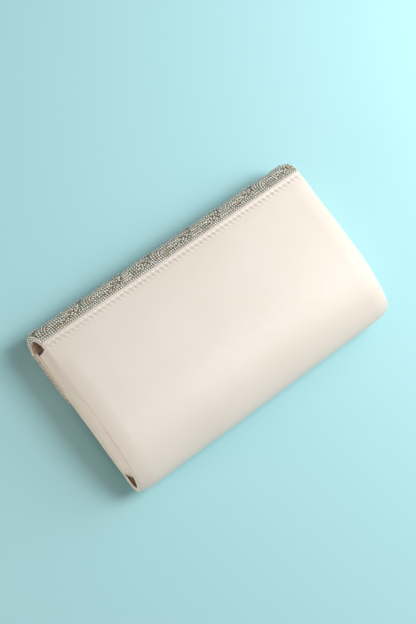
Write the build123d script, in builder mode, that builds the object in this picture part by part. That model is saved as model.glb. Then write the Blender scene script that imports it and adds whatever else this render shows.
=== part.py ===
"""Envelope evening clutch: padded satin body, beaded spine and flap, magnetic snap.

The bag lies on its flap. +X runs along the width, +Y towards the top fold and +Z up, out of the back panel.
The origin is the centre of the bounding box's bottom face. All sizes are in millimetres.
"""

from build123d import *
from math import acos, atan2, degrees, sqrt
import os

# ---- driving dimensions of the shell ----
bag_width = 250.0  # over both side pipings
panel_height = 130.0  # back panel, from the top seam to the outside of the bottom fold
bag_depth = 36.0  # from the closed flap's underside to the back panel, at the top seam
spine_bulge = 10.0  # how far the spine stands out beyond the top seam
crown_rise = 2.8  # how much the padded back panel rises above the top seam
crown_run = 73.0  # from the top seam to the highest line of the back panel
fold_height = 16.0  # height of the outermost line of the bottom fold
front_height = 6.0  # outer face of the front panel above the flap's underside

# ---- layers of the shell, from the outside in ----
satin_thick = 0.5
wadding_thick = 1.0
board_thick = 1.5
lining_thick = 0.5
board_margin = 1.4  # boards and wadding stop short of the satin's side edge
board_gap = 1.0  # fold line between the back board and the bottom stiffener
stiffener_run = 22.0  # the bottom stiffener reaches this far up the back from the fold

# ---- side pipings ----
piping_width = 1.4
piping_depth = 2.0

# ---- front panel ----
front_hinge_run = 15.0  # from the outside of the bottom fold to the line the front panel bends on
bend_clearance = 0.15  # half the gap at a bend line
mouth_setback = 2.0  # the front panel's mouth edge stands back from the top seam

# ---- gussets ----
gusset_thick = 0.6
gusset_lining_thick = 0.4
gusset_inset = 2.6  # from the bag's side to the gusset's outermost edge
gusset_fold = 2.4  # how far the middle of the gusset is folded inwards
gusset_half_depth = 16.5  # from the gusset's fold line to its outermost edge
gusset_drop = 8.0  # the gusset's top edge is this far below the top seam
gusset_clearance = 0.1  # to the linings it is sewn to

# ---- slip pocket on the back lining ----
pocket_width = 120.0
pocket_height = 62.0
pocket_drop = 18.0  # the pocket's mouth is this far below the top seam
pocket_gap = 1.0
pocket_cloth = 0.6
pocket_seam = 2.0

# ---- row of topstitches ----
stitch_setback = 3.5  # below the top seam
stitch_pitch = 4.2
stitch_length = 3.0
stitch_width = 0.6
stitch_height = 0.35
stitch_end_margin = 3.0

# ---- layers of the spine and the flap, from the outside in ----
bead_thick = 2.0
ground_thick = 0.5
flap_board_thick = 1.2
flap_lining_thick = 0.5
flap_board_margin = 2.0  # the lining is turned down round the board's edge

# ---- flap outline ----
flap_stop_run = 25.0  # the middle of the lower edge stays this far above the bottom fold
flap_edge_radius = 280.0  # the lower edge is a shallow arc
flap_corner_radius = 65.0

# ---- magnetic snap ----
snap_setback = 16.0  # its centre above the flap's lower edge
stud_radius = 2.2
stud_height = 2.0
stud_base_radius = 7.0
stud_base_thick = 0.3
stud_hole_radius = 3.2
socket_radius = 8.5
socket_wall = 0.7
socket_face_thick = 0.5
socket_face_gap = 0.2  # between the stud's base and the socket's face
socket_plate_thick = 0.5
socket_hole_clearance = 0.2
magnet_clearance = 0.1
washer_radius = 9.0
washer_thick = 0.5
washer_clearance = 0.2
prong_width = 2.2
prong_thick = 0.6
prong_spread = 5.2  # from the snap's centre to each prong
prong_clearance = 0.2

# ---- places worked out from the sizes above ----
overall_height = panel_height + spine_bulge
seam_y = overall_height / 2 - spine_bulge
fold_y = -overall_height / 2
crown_y = seam_y - crown_run
crown_z = bag_depth + crown_rise
crown_radius = (crown_run**2 + crown_rise**2) / (2 * crown_rise)
shoulder_run = crown_y - fold_y  # the elliptic shoulder between the crown and the fold
shoulder_rise = crown_z - fold_height
fold_radius = fold_height - front_height
front_start_y = fold_y + fold_radius
front_hinge_y = fold_y + front_hinge_run
mouth_y = seam_y - mouth_setback

board_inset = satin_thick + wadding_thick
lining_inset = board_inset + board_thick
shell_inset = lining_inset + lining_thick
satin_width = bag_width - 2 * piping_width
board_width = satin_width - 2 * board_margin

board_level = bead_thick + ground_thick  # levels of the flap's layers above its underside
lining_level = board_level + flap_board_thick
flap_thick = lining_level + flap_lining_thick
spine_y = seam_y + 2 * bend_clearance
spine_rise = overall_height / 2 - spine_y
spine_radius = ((bag_depth / 2) ** 2 + spine_rise**2) / (2 * spine_rise)
flap_tip_y = fold_y + flap_stop_run

snap_y = flap_tip_y + snap_setback
stud_base_top = flap_thick + stud_base_thick
socket_face = stud_base_top + socket_face_gap
socket_back = front_height + board_inset
plate_level = socket_back - socket_plate_thick
front_washer_level = front_height + lining_inset - washer_thick

beyond = 4 * (overall_height + bag_width)  # surely outside the bag


def shell_face(inset, mode=Mode.ADD):
    """The side outline of the shell in the open sketch, at a depth below its outer face."""
    back_radius = crown_radius - inset
    seam_angle = degrees(acos(crown_run / back_radius))
    front_z = front_height + inset
    with BuildLine() as outline:
        back = CenterArc((crown_y, crown_z - crown_radius), back_radius, seam_angle, 90 - seam_angle)
        EllipticalCenterArc((crown_y, fold_height), shoulder_run - inset, shoulder_rise - inset, 90, arc_size=90)
        CenterArc((front_start_y, fold_height), fold_radius - inset, 180, 90)
        Polyline((front_start_y, front_z), (seam_y, front_z), back @ 0)
    make_face(outline.edges(), mode=mode)


def cut_box(low, high):
    """Takes the rectangle between two corners out of the open sketch."""
    with BuildLine() as outline:
        Polyline(low, (high[0], low[1]), high, (low[0], high[1]), close=True)
    make_face(outline.edges(), mode=Mode.SUBTRACT)


def cut_front():
    """Takes away what lies beyond the line that the front panel bends on."""
    cut_box((front_hinge_y - bend_clearance, -beyond), (beyond, fold_height))


def shell_band(outer, inner):
    """One layer of the shell in the open sketch, between two depths."""
    shell_face(outer)
    shell_face(inner, mode=Mode.SUBTRACT)


def spine_band(outer, inner):
    """One layer of the spine in the open sketch, between two depths."""
    with Locations((overall_height / 2 - spine_radius, bag_depth / 2)):
        Circle(spine_radius - outer)
        Circle(spine_radius - inner, mode=Mode.SUBTRACT)
    cut_box((-beyond, -beyond), (spine_y, beyond))


def front_face(width):
    """The front panel's outline in the open sketch, from its bend line to its mouth edge."""
    start_y = front_hinge_y + bend_clearance
    with Locations((0, (start_y + mouth_y) / 2)):
        Rectangle(width, mouth_y - start_y)


def flap_face(margin=0.0, mode=Mode.ADD):
    """The flap's outline in the open sketch, taken in by a margin all round."""
    half = bag_width / 2 - margin
    top_y = seam_y - margin
    corner = flap_corner_radius - margin
    edge = flap_edge_radius - margin
    edge_y = flap_tip_y + flap_edge_radius
    corner_x = half - corner
    corner_y = edge_y - sqrt((edge - corner) ** 2 - corner_x**2)
    turn = degrees(atan2(edge_y - corner_y, corner_x))
    with BuildLine() as outline:
        Polyline((half, corner_y), (half, top_y), (-half, top_y), (-half, corner_y))
        CenterArc((-corner_x, corner_y), corner, 180, turn)
        CenterArc((0, edge_y), edge, 180 + turn, 180 - 2 * turn)
        CenterArc((corner_x, corner_y), corner, -turn, turn)
    make_face(outline.edges(), mode=mode)


def snap_holes(radius, mode=Mode.SUBTRACT):
    """A round hole at the snap's centre in the open sketch."""
    with Locations((0, snap_y)):
        Circle(radius, mode=mode)


def prongs(clearance=0.0, mode=Mode.ADD):
    """The snap's two prongs, or the slots they pass through, in the open sketch."""
    with Locations((-prong_spread, snap_y), (prong_spread, snap_y)):
        Rectangle(prong_thick + 2 * clearance, prong_width + 2 * clearance, mode=mode)


def gusset_band(outer, inner):
    """The folded cross-section of one gusset cloth in the open sketch, on the +X side."""
    edge_x = bag_width / 2 - gusset_inset
    fold_x = edge_x - gusset_fold
    reach = gusset_half_depth
    with BuildLine() as outline:
        face = Polyline((edge_x - outer, reach), (fold_x - outer, 0), (edge_x - outer, -reach))
        back = Polyline((edge_x - inner, -reach), (fold_x - inner, 0), (edge_x - inner, reach))
        Line(face @ 1, back @ 0)
        Line(back @ 1, face @ 0)
    make_face(outline.edges())


def surface_height(y):
    """Height of the back panel's outer face between its crown and the top seam."""
    return crown_z - crown_radius + sqrt(crown_radius**2 - (y - crown_y) ** 2)


def write(piece, name):
    """Labels a finished piece and writes it."""
    piece.label = name
    export_step(piece, f"parts/{name}.step")


os.makedirs("parts", exist_ok=True)

# ---- back panel and bottom fold ----
with BuildPart() as back_satin:
    with BuildSketch(Plane.YZ):
        shell_band(0, satin_thick)
        cut_front()
    extrude(amount=satin_width / 2, both=True)
write(back_satin.part, "back_satin")

with BuildPart() as back_wadding:
    with BuildSketch(Plane.YZ):
        shell_band(satin_thick, board_inset)
        cut_front()
    extrude(amount=board_width / 2, both=True)
write(back_wadding.part, "back_wadding")

with BuildPart() as back_board:
    with BuildSketch(Plane.YZ):
        shell_band(board_inset, lining_inset)
        cut_box((-beyond, -beyond), (fold_y + stiffener_run + board_gap, beyond))
        cut_box((-beyond, -beyond), (beyond, fold_height))
    extrude(amount=board_width / 2, both=True)
write(back_board.part, "back_board")

with BuildPart() as bottom_stiffener:
    with BuildSketch(Plane.YZ):
        shell_band(board_inset, lining_inset)
        cut_box((fold_y + stiffener_run, fold_height), (beyond, beyond))
        cut_front()
    extrude(amount=board_width / 2, both=True)
write(bottom_stiffener.part, "bottom_stiffener")

with BuildPart() as back_lining:
    with BuildSketch(Plane.YZ):
        shell_band(lining_inset, shell_inset)
        cut_front()
    extrude(amount=board_width / 2, both=True)
write(back_lining.part, "back_lining")

# ---- slip pocket, open towards the mouth ----
pocket_top_y = seam_y - pocket_drop
pocket_bottom_y = pocket_top_y - pocket_height
with BuildPart() as slip_pocket:
    with BuildSketch(Plane.YZ):
        shell_band(shell_inset, shell_inset + pocket_gap + pocket_cloth)
        cut_box((-beyond, -beyond), (pocket_bottom_y, beyond))
        cut_box((pocket_top_y, -beyond), (beyond, beyond))
        cut_box((-beyond, -beyond), (beyond, fold_height))
    extrude(amount=pocket_width / 2, both=True)
    with BuildSketch(Plane.YZ):
        shell_band(shell_inset, shell_inset + pocket_gap)
        cut_box((-beyond, -beyond), (pocket_bottom_y + pocket_seam, beyond))
        cut_box((-beyond, -beyond), (beyond, fold_height))
    extrude(amount=pocket_width / 2 - pocket_seam, both=True, mode=Mode.SUBTRACT)
write(slip_pocket.part, "slip_pocket")

# ---- row of topstitches below the top seam ----
stitch_y = seam_y - stitch_setback
stitch_base = surface_height(stitch_y - stitch_width / 2)
stitch_count = int((bag_width - 2 * stitch_end_margin) // stitch_pitch)
with BuildPart() as seam_stitches:
    with BuildSketch(Plane.XY.offset(stitch_base)):
        with Locations((0, stitch_y)):
            with GridLocations(stitch_pitch, stitch_pitch, stitch_count, 1):
                SlotOverall(stitch_length, stitch_width)
    extrude(amount=stitch_height)
write(seam_stitches.part, "seam_stitches")

# ---- side pipings and gussets ----
mouth_middle = (front_height + surface_height(seam_y)) / 2
fold_line = (0, seam_y - fold_y, mouth_middle - fold_height)  # runs up from the bottom fold
gusset_plane = Plane(origin=(0, fold_y, fold_height), x_dir=(1, 0, 0), z_dir=fold_line)
gusset_back = gusset_thick + gusset_lining_thick
gusset_cloths = (("gusset", 0, gusset_thick), ("gusset_lining", gusset_thick, gusset_back))
for side, sign in (("right", 1), ("left", -1)):
    piping_plane = Plane.YZ.offset(sign * satin_width / 2)
    with BuildPart() as back_piping:
        with BuildSketch(piping_plane):
            shell_band(0, piping_depth)
            cut_front()
        extrude(amount=sign * piping_width)
    write(back_piping.part, f"{side}_back_piping")

    with BuildPart() as front_piping:
        with BuildSketch(piping_plane):
            shell_band(0, piping_depth)
            cut_box((-beyond, -beyond), (front_hinge_y + bend_clearance, beyond))
            cut_box((mouth_y, -beyond), (beyond, beyond))
            cut_box((-beyond, fold_height), (beyond, beyond))
        extrude(amount=sign * piping_width)
    write(front_piping.part, f"{side}_front_piping")

    for cloth, outer, inner in gusset_cloths:
        with BuildPart() as gusset:
            with BuildSketch(gusset_plane):
                gusset_band(outer, inner)
                if sign < 0:
                    mirror(about=Plane.YZ, mode=Mode.REPLACE)
            extrude(amount=beyond, both=True)
            with BuildSketch(Plane.YZ):
                shell_face(shell_inset + gusset_clearance)
                cut_box((seam_y - gusset_drop, -beyond), (beyond, beyond))
            extrude(amount=bag_width / 2, both=True, mode=Mode.INTERSECT)
        write(gusset.part, f"{side}_{cloth}")

# ---- front panel, with the snap's socket let into it ----
with BuildPart() as front_satin:
    with BuildSketch(Plane.XY.offset(front_height)):
        front_face(satin_width)
        snap_holes(socket_radius + socket_hole_clearance)
    extrude(amount=satin_thick)
write(front_satin.part, "front_satin")

with BuildPart() as front_wadding:
    with BuildSketch(Plane.XY.offset(front_height + satin_thick)):
        front_face(board_width)
        snap_holes(socket_radius + socket_hole_clearance)
    extrude(amount=wadding_thick)
write(front_wadding.part, "front_wadding")

with BuildPart() as front_board:
    with BuildSketch(Plane.XY.offset(socket_back)):
        front_face(board_width)
        prongs(prong_clearance, mode=Mode.SUBTRACT)
    extrude(amount=board_thick)
    with BuildSketch(Plane.XY.offset(front_washer_level)):
        snap_holes(washer_radius + washer_clearance, mode=Mode.ADD)
    extrude(amount=washer_thick, mode=Mode.SUBTRACT)
write(front_board.part, "front_board")

with BuildPart() as front_lining:
    with BuildSketch(Plane.XY.offset(front_height + lining_inset)):
        front_face(board_width)
    extrude(amount=lining_thick)
write(front_lining.part, "front_lining")

with BuildPart() as socket_cap:
    with BuildSketch(Plane.XY.offset(socket_face)):
        snap_holes(socket_radius, mode=Mode.ADD)
        snap_holes(stud_hole_radius)
    extrude(amount=plate_level - socket_face)
    with BuildSketch(Plane.XY.offset(socket_face + socket_face_thick)):
        snap_holes(socket_radius - socket_wall, mode=Mode.ADD)
        snap_holes(stud_hole_radius + socket_wall)
    extrude(amount=plate_level - socket_face, mode=Mode.SUBTRACT)
write(socket_cap.part, "socket_cap")

magnet_room = plate_level - socket_face - socket_face_thick
with BuildPart() as socket_magnet:
    with BuildSketch(Plane.XY.offset(socket_face + socket_face_thick)):
        snap_holes(socket_radius - socket_wall - magnet_clearance, mode=Mode.ADD)
        snap_holes(stud_hole_radius + socket_wall + magnet_clearance)
    extrude(amount=magnet_room)
write(socket_magnet.part, "socket_magnet")

with BuildPart() as socket_plate:
    with BuildSketch(Plane.XY.offset(plate_level)):
        snap_holes(socket_radius, mode=Mode.ADD)
    extrude(amount=socket_plate_thick)
    with BuildSketch(Plane.XY.offset(socket_back)):
        prongs()
    extrude(amount=board_thick)
write(socket_plate.part, "socket_plate")

with BuildPart() as socket_washer:
    with BuildSketch(Plane.XY.offset(front_washer_level)):
        snap_holes(washer_radius, mode=Mode.ADD)
        prongs(prong_clearance, mode=Mode.SUBTRACT)
    extrude(amount=washer_thick)
write(socket_washer.part, "socket_washer")

# ---- spine ----
spine_layers = (
    ("spine_beadwork", 0, bead_thick, 0),
    ("spine_ground_cloth", bead_thick, board_level, 0),
    ("spine_stiffener", board_level, lining_level, flap_board_margin),
    ("spine_lining", lining_level, flap_thick, 0),
)
for layer, outer, inner, margin in spine_layers:
    with BuildPart() as spine:
        with BuildSketch(Plane.YZ):
            spine_band(outer, inner)
        extrude(amount=bag_width / 2 - margin, both=True)
    write(spine.part, layer)

# ---- flap, with the snap's stud on its lining ----
with BuildPart() as flap_beadwork:
    with BuildSketch():
        flap_face()
    extrude(amount=bead_thick)
write(flap_beadwork.part, "flap_beadwork")

with BuildPart() as flap_ground_cloth:
    with BuildSketch(Plane.XY.offset(bead_thick)):
        flap_face()
    extrude(amount=ground_thick)
write(flap_ground_cloth.part, "flap_ground_cloth")

with BuildPart() as flap_board:
    with BuildSketch(Plane.XY.offset(board_level)):
        flap_face(flap_board_margin)
        prongs(prong_clearance, mode=Mode.SUBTRACT)
    extrude(amount=flap_board_thick)
    with BuildSketch(Plane.XY.offset(board_level)):
        snap_holes(washer_radius + washer_clearance, mode=Mode.ADD)
    extrude(amount=washer_thick, mode=Mode.SUBTRACT)
write(flap_board.part, "flap_board")

with BuildPart() as flap_lining:
    with BuildSketch(Plane.XY.offset(board_level)):
        flap_face()
        prongs(prong_clearance, mode=Mode.SUBTRACT)
    extrude(amount=flap_thick - board_level)
    with BuildSketch(Plane.XY.offset(board_level)):
        flap_face(flap_board_margin)
    extrude(amount=flap_board_thick, mode=Mode.SUBTRACT)
write(flap_lining.part, "flap_lining")

with BuildPart() as snap_stud:
    with BuildSketch(Plane.XY.offset(flap_thick)):
        snap_holes(stud_base_radius, mode=Mode.ADD)
    extrude(amount=stud_base_thick)
    with BuildSketch(Plane.XY.offset(stud_base_top)):
        snap_holes(stud_radius, mode=Mode.ADD)
    extrude(amount=stud_height)
    with BuildSketch(Plane.XY.offset(board_level)):
        prongs()
    extrude(amount=flap_thick - board_level)
write(snap_stud.part, "snap_stud")

with BuildPart() as stud_washer:
    with BuildSketch(Plane.XY.offset(board_level)):
        snap_holes(washer_radius, mode=Mode.ADD)
        prongs(prong_clearance, mode=Mode.SUBTRACT)
    extrude(amount=washer_thick)
write(stud_washer.part, "stud_washer")
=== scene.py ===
"""Looks of a satin evening clutch with a beaded flap, lying on its front.

Everything is in metres in the bag's own frame: +X along the width, +Y towards the top fold, +Z up, out of
the back panel. Cloth is built as closed thin sheets over the shell's side profile, and beads and stitches are
scattered along their sewing lines by Geometry Nodes.
"""

import logging
import math
from dataclasses import dataclass, field
from enum import Enum
from typing import Iterable, Optional, Sequence

import bmesh
import bpy
import numpy as np
from mathutils import Matrix, Vector
from mathutils.kdtree import KDTree


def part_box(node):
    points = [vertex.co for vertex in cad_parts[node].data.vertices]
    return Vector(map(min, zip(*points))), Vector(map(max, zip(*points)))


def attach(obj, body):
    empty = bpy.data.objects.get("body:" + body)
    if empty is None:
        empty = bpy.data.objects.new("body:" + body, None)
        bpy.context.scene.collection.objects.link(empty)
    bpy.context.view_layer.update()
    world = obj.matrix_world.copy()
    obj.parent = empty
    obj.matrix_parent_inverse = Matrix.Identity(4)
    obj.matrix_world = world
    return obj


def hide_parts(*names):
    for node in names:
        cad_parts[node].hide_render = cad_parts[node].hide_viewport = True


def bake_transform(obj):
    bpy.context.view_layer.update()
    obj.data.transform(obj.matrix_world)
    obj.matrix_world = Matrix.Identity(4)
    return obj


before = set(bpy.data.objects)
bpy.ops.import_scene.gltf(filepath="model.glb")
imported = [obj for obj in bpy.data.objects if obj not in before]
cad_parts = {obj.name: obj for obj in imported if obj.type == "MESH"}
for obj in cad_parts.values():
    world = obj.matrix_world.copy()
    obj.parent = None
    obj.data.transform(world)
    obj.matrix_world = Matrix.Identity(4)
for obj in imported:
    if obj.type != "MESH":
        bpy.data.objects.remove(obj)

MM = 0.001
log = logging.getLogger("clutch")


class Side(Enum):
    """The bag's two ends along X."""

    LEFT = -1
    RIGHT = 1


class Body(Enum):
    """Moving bodies of the bag."""

    SHELL = "shell"
    FRONT = "front_panel"
    SPINE = "spine"
    FLAP = "flap"


class Held(Enum):
    """How a cloth is held."""

    STRETCHED = "stretched"
    FOLDED = "folded"


# ---------------------------------------------------------------- small shared maths

def smooth(value: np.ndarray, low: float, high: float) -> np.ndarray:
    """Smooth step of a value from 0 at low to 1 at high.

    Args:
        value: numbers to map.
        low: where the step starts.
        high: where the step ends.

    Returns:
        Numbers from 0 to 1.
    """
    t = np.clip((np.asarray(value, float) - low) / (high - low), 0, 1)
    return t * t * (3 - 2 * t)


def ripple(x: np.ndarray, y: np.ndarray, length: float, seed: int, waves: int = 7) -> np.ndarray:
    """Gentle uneven waves over a plane, as slack cloth has.

    Args:
        x, y: places on the cloth, in metres.
        length: typical wave length, in metres.
        seed: picks the waves.
        waves: how many plane waves are added.

    Returns:
        Heights of about -1 to 1.
    """
    pick = np.random.default_rng(seed)
    total = np.zeros(np.broadcast(x, y).shape)
    for _ in range(waves):
        turn, phase = pick.uniform(0, math.tau, 2)
        pitch = math.tau / (length * pick.uniform(0.7, 1.8))
        total += np.sin(pitch * (x * math.cos(turn) + y * math.sin(turn)) + phase)
    return total / math.sqrt(waves) / 1.4


def resample(line: np.ndarray, stations: np.ndarray) -> np.ndarray:
    """Points at given distances along a polyline.

    Args:
        line: the polyline's points, one per row.
        stations: distances from its start.

    Returns:
        One point per station.
    """
    steps = np.linalg.norm(np.diff(line, axis=0), axis=1)
    along = np.concatenate([[0], np.cumsum(steps)])
    return np.stack([np.interp(stations, along, line[:, k]) for k in range(line.shape[1])], axis=1)


# ---------------------------------------------------------------- meshes

def new_piece(name: str, points: np.ndarray, faces: Sequence[Sequence[int]], material: bpy.types.Material,
              uv: Optional[np.ndarray] = None) -> bpy.types.Object:
    """Makes a smooth-shaded mesh piece.

    Args:
        name: the piece's name.
        points: its points, one per row.
        faces: its faces as point numbers.
        material: its finish.
        uv: a place on the cloth for each point, in metres.

    Returns:
        The new object, linked to the scene.
    """
    mesh = bpy.data.meshes.new(name)
    mesh.from_pydata(points.tolist(), [], [list(map(int, f)) for f in faces])
    mesh.materials.append(material)
    mesh.polygons.foreach_set("use_smooth", [True] * len(mesh.polygons))
    if uv is not None:
        layer = mesh.uv_layers.new(name="cloth")
        corner = np.empty(len(mesh.loops), np.int32)
        mesh.loops.foreach_get("vertex_index", corner)
        layer.data.foreach_set("uv", uv[corner].astype(np.float32).ravel())
    mesh.update()
    piece = bpy.data.objects.new(name, mesh)
    bpy.context.scene.collection.objects.link(piece)
    return piece


def grid_normals(grid: np.ndarray) -> np.ndarray:
    """Unit normals of a grid of points, rows crossed with columns.

    Args:
        grid: points as (rows, columns, 3).

    Returns:
        Normals of the same shape.
    """
    normal = np.cross(np.gradient(grid, axis=0), np.gradient(grid, axis=1))
    return normal / np.maximum(np.linalg.norm(normal, axis=2, keepdims=True), 1e-12)


def closed_sheet(name: str, grid: np.ndarray, thick: float, material: bpy.types.Material, flip: bool = False,
                 uv: Optional[np.ndarray] = None, inner: Optional[np.ndarray] = None) -> bpy.types.Object:
    """Makes a closed thin sheet from the grid of its outer face.

    Args:
        name: the piece's name.
        grid: outer points as (rows, columns, 3).
        thick: the cloth's thickness.
        material: its finish.
        flip: turns the outer side round.
        uv: places on the cloth as (rows, columns, 2).
        inner: the inner face's points, where it isn't an even offset.

    Returns:
        The new object.
    """
    rows, cols = grid.shape[:2]
    normal = grid_normals(grid) * (-1 if flip else 1)
    back = grid - normal * thick if inner is None else inner
    points = np.concatenate([grid.reshape(-1, 3), back.reshape(-1, 3)])
    at = np.arange(rows * cols).reshape(rows, cols)
    quads = np.stack([at[:-1, :-1], at[1:, :-1], at[1:, 1:], at[:-1, 1:]], axis=-1).reshape(-1, 4)
    under = quads[:, ::-1] + rows * cols
    rim = np.concatenate([at[:, 0], at[-1, 1:], at[-2::-1, -1], at[0, -2:0:-1]])
    turned = np.roll(rim, -1)
    walls = np.stack([turned, rim, rim + rows * cols, turned + rows * cols], axis=-1)
    faces = np.concatenate([quads, under, walls])
    if flip:
        faces = faces[:, ::-1]
    places = None if uv is None else np.concatenate([uv.reshape(-1, 2)] * 2)
    return new_piece(name, points, faces, material, places)


def tube(name: str, line: np.ndarray, across: np.ndarray, up: np.ndarray, material: bpy.types.Material,
         sides: int = 12) -> bpy.types.Object:
    """Makes a closed tube of elliptic section along a line.

    Args:
        name: the piece's name.
        line: its centre points.
        across: the half axis of the section in one direction, one per point.
        up: the half axis in the other direction, one per point.
        material: its finish.
        sides: points round the section.

    Returns:
        The new object.
    """
    turn = np.linspace(0, math.tau, sides, endpoint=False)
    ring = across[:, None] * np.cos(turn)[None, :, None] + up[:, None] * np.sin(turn)[None, :, None]
    points = np.concatenate([(line[:, None] + ring).reshape(-1, 3), line[[0, -1]]])
    count = len(line)
    faces: list[list[int]] = []
    for row in range(count - 1):
        for k in range(sides):
            a, b = row * sides + k, row * sides + (k + 1) % sides
            faces.append([a, b, b + sides, a + sides])
    for k in range(sides):
        last = (count - 1) * sides
        faces.append([count * sides, (k + 1) % sides, k])
        faces.append([count * sides + 1, last + k, last + (k + 1) % sides])
    piece = new_piece(name, points, faces, material)
    outward(piece)
    return piece


def outward(piece: bpy.types.Object) -> None:
    """Turns a closed mesh's faces outwards."""
    work = bmesh.new()
    work.from_mesh(piece.data)
    bmesh.ops.recalc_face_normals(work, faces=work.faces)
    work.to_mesh(piece.data)
    work.free()


def chain_mesh(name: str, chains: Iterable[np.ndarray], shades: Iterable[float]) -> bpy.types.Mesh:
    """Makes a mesh of edge chains, one chain for each sewing line.

    Args:
        name: the mesh's name.
        chains: the lines' points.
        shades: a shade number for each line, kept on its points.

    Returns:
        A mesh of points and edges.
    """
    points, edges, values, start = [], [], [], 0
    for chain, shade in zip(chains, shades):
        points.extend(chain.tolist())
        values.extend([shade] * len(chain))
        edges.extend((start + k, start + k + 1) for k in range(len(chain) - 1))
        start += len(chain)
    mesh = bpy.data.meshes.new(name)
    mesh.from_pydata(points, edges, [])
    mesh.attributes.new("shade", "FLOAT", "POINT").data.foreach_set("value", values)
    return mesh


# ---------------------------------------------------------------- nodes

def math_node(tree: bpy.types.NodeTree, operation: str, *values: object) -> bpy.types.NodeSocket:
    """Adds a math node.

    Args:
        tree: the node tree it goes into.
        operation: what it works out.
        values: its inputs in order, each a number or another node's output.

    Returns:
        The result's socket.
    """
    node = tree.nodes.new("ShaderNodeMath")
    node.operation = operation
    for socket, value in zip(node.inputs, values):
        if isinstance(value, bpy.types.NodeSocket):
            tree.links.new(value, socket)
        else:
            socket.default_value = value
    return node.outputs[0]


@dataclass(frozen=True)
class Scatter:
    """Small rounded shapes set at even steps along sewing lines, by Geometry Nodes."""

    spacing: float
    size: tuple[float, float, float]
    tilt: float = 0.0
    jitter: float = 0.06
    segments: int = 6
    rings: int = 4
    seed: int = 3

    def tree(self) -> bpy.types.NodeTree:
        """Builds the node tree.

        Returns:
            A tree with inputs for spacing, size, tilt, jitter, seed and material.
        """
        tree = bpy.data.node_groups.new("set_along_lines", "GeometryNodeTree")
        for name, kind in (("Lines", "Geometry"), ("Spacing", "Float"), ("Size", "Vector"), ("Tilt", "Float"),
                           ("Jitter", "Float"), ("Seed", "Int"), ("Finish", "Material")):
            tree.interface.new_socket(name=name, in_out="INPUT", socket_type=f"NodeSocket{kind}")
        tree.interface.new_socket(name="Pieces", in_out="OUTPUT", socket_type="NodeSocketGeometry")
        add = tree.nodes.new
        given, out = add("NodeGroupInput"), add("NodeGroupOutput")
        curve = add("GeometryNodeMeshToCurve")
        spots = add("GeometryNodeCurveToPoints")
        spots.mode = "LENGTH"
        ball = add("GeometryNodeMeshUVSphere")
        ball.inputs["Segments"].default_value = self.segments
        ball.inputs["Rings"].default_value = self.rings
        ball.inputs["Radius"].default_value = 1.0
        grow = add("FunctionNodeRandomValue")
        scale = add("ShaderNodeVectorMath")
        scale.operation = "SCALE"
        turn = add("ShaderNodeCombineXYZ")
        place = add("GeometryNodeInstanceOnPoints")
        tint = add("FunctionNodeRandomValue")
        keep = add("GeometryNodeStoreNamedAttribute")
        keep.data_type, keep.domain = "FLOAT", "INSTANCE"
        keep.inputs["Name"].default_value = "tint"
        real = add("GeometryNodeRealizeInstances")
        dress = add("GeometryNodeSetMaterial")
        tree.links.new(math_node(tree, "SUBTRACT", 1.0, given.outputs["Jitter"]), grow.inputs[2])
        tree.links.new(math_node(tree, "ADD", 1.0, given.outputs["Jitter"]), grow.inputs[3])
        tree.links.new(math_node(tree, "ADD", given.outputs["Seed"], 1.0), tint.inputs["Seed"])
        wires = (
            (given, "Lines", curve, "Mesh"),
            (curve, "Curve", spots, "Curve"),
            (given, "Spacing", spots, "Length"),
            (spots, "Points", place, "Points"),
            (ball, "Mesh", place, "Instance"),
            (given, "Seed", grow, "Seed"),
            (given, "Size", scale, 0),
            (grow, 1, scale, "Scale"),
            (scale, "Vector", place, "Scale"),
            (given, "Tilt", turn, "Z"),
            (turn, "Vector", place, "Rotation"),
            (place, "Instances", keep, "Geometry"),
            (tint, 1, keep, "Value"),
            (keep, "Geometry", real, "Geometry"),
            (real, "Geometry", dress, "Geometry"),
            (given, "Finish", dress, "Material"),
            (dress, "Geometry", out, "Pieces"),
        )
        for source, leaving, target, entering in wires:
            tree.links.new(source.outputs[leaving], target.inputs[entering])
        return tree

    def along(self, name: str, chains: Sequence[np.ndarray], shades: Sequence[float],
              material: bpy.types.Material) -> bpy.types.Object:
        """Sets the shapes along lines and returns them as one plain mesh.

        Args:
            name: the piece's name.
            chains: the sewing lines.
            shades: a shade for each line.
            material: the shapes' finish.

        Returns:
            The new piece.
        """
        source = bpy.data.objects.new(name + "_lines", chain_mesh(name + "_lines", chains, shades))
        bpy.context.scene.collection.objects.link(source)
        tree = self.tree()
        modifier = source.modifiers.new("set", "NODES")
        modifier.node_group = tree
        values = {"Spacing": self.spacing, "Size": self.size, "Tilt": self.tilt, "Jitter": self.jitter,
                  "Seed": self.seed, "Finish": material}
        for socket in tree.interface.items_tree:
            if socket.in_out == "INPUT" and socket.name in values:
                modifier[socket.identifier] = values[socket.name]
        ready = source.evaluated_get(bpy.context.evaluated_depsgraph_get())
        mesh = bpy.data.meshes.new_from_object(ready)
        mesh.name = name
        mesh.materials.clear()
        mesh.materials.append(material)
        mesh.polygons.foreach_set("use_smooth", [True] * len(mesh.polygons))
        piece = bpy.data.objects.new(name, mesh)
        bpy.context.scene.collection.objects.link(piece)
        bpy.data.objects.remove(source)
        bpy.data.node_groups.remove(tree)
        return piece


# ---------------------------------------------------------------- shader groups and finishes

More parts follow.
